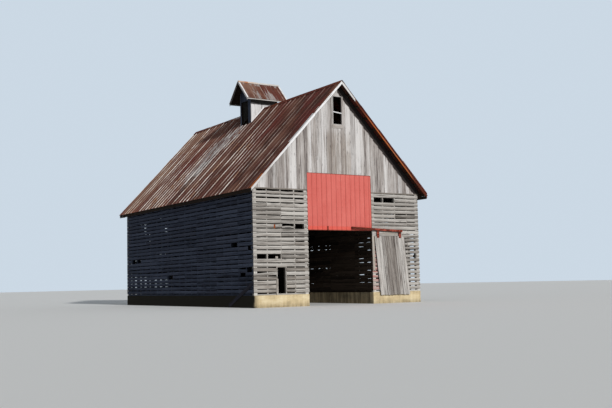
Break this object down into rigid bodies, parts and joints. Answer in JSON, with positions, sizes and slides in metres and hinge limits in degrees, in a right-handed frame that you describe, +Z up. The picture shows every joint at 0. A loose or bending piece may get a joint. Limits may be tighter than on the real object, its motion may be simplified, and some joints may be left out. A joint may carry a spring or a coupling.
{
  "type": "drive-through corn crib barn",
  "caption": "Weathered drive-through corn crib with slatted walls, a rusted gable roof, a ridge cupola and a red steel front panel.",
  "frame": {"origin": "on the ground, at the middle of the plan", "axes": "+Z up, the front with the open doorway faces -Y, the ridge runs along Y, +X is to the right seen from the front"},
  "size_m": [8.4764, 13.5356, 10.1643],
  "materials": {
    "concrete": "rough, weathered concrete",
    "weathered_wood": "bare, weathered grey",
    "silvered_wood": "bare, silvered",
    "shaded_wood": "bare, weathered dark",
    "inner_wood": "rough sawn, brown",
    "rusted_roof": "rusted galvanised steel",
    "red_steel": "faded red paint",
    "rusted_rail": "rusted steel"
  },
  "bodies": {
    "building": {"foundations": "concrete", "corner_posts": "weathered_wood", "left_wall_front": "shaded_wood", "left_wall_rear": "shaded_wood", "right_wall_front": "weathered_wood", "right_wall_rear": "weathered_wood", "left_alley_wall_front": "inner_wood", "left_alley_wall_rear": "inner_wood", "right_alley_wall_front": "inner_wood", "right_alley_wall_rear": "inner_wood", "front_left_wall": "weathered_wood", "front_right_wall": "weathered_wood", "rear_left_wall": "weathered_wood", "rear_right_wall": "weathered_wood", "tie_beams": "inner_wood", "ridge_board": "inner_wood", "rafters": "inner_wood", "roof_battens": "inner_wood", "left_roof_sheets": "rusted_roof", "right_roof_sheets": "rusted_roof", "ridge_cap": "rusted_roof", "bargeboards": "silvered_wood", "front_gable": "silvered_wood", "rear_gable": "silvered_wood", "gable_frames": "inner_wood", "front_window_frame": "silvered_wood", "rear_window_frame": "silvered_wood", "doorway_headers": "inner_wood", "panel_girts": "inner_wood", "red_panel": "red_steel", "jamb_board": "silvered_wood", "track_board": "silvered_wood", "door_track": "rusted_rail", "rear_doors": "weathered_wood", "rear_track": "rusted_rail", "cupola_walls": "silvered_wood", "cupola_ends": "shaded_wood", "cupola_posts": "inner_wood", "cupola_deck": "inner_wood", "cupola_sheets": "rusted_roof", "cupola_trim": "silvered_wood", "cupola_ridge_cap": "rusted_roof", "loose_plank": "shaded_wood"},
    "door": {"sliding_door": "weathered_wood", "door_hangers": "rusted_rail"}
  },
  "joints": [
    {"name": "door_slide", "type": "slide", "parent": "building", "child": "door", "axis": [0.9991, 0, -0.0419], "range_m": [-1.2, 0]}
  ]
}
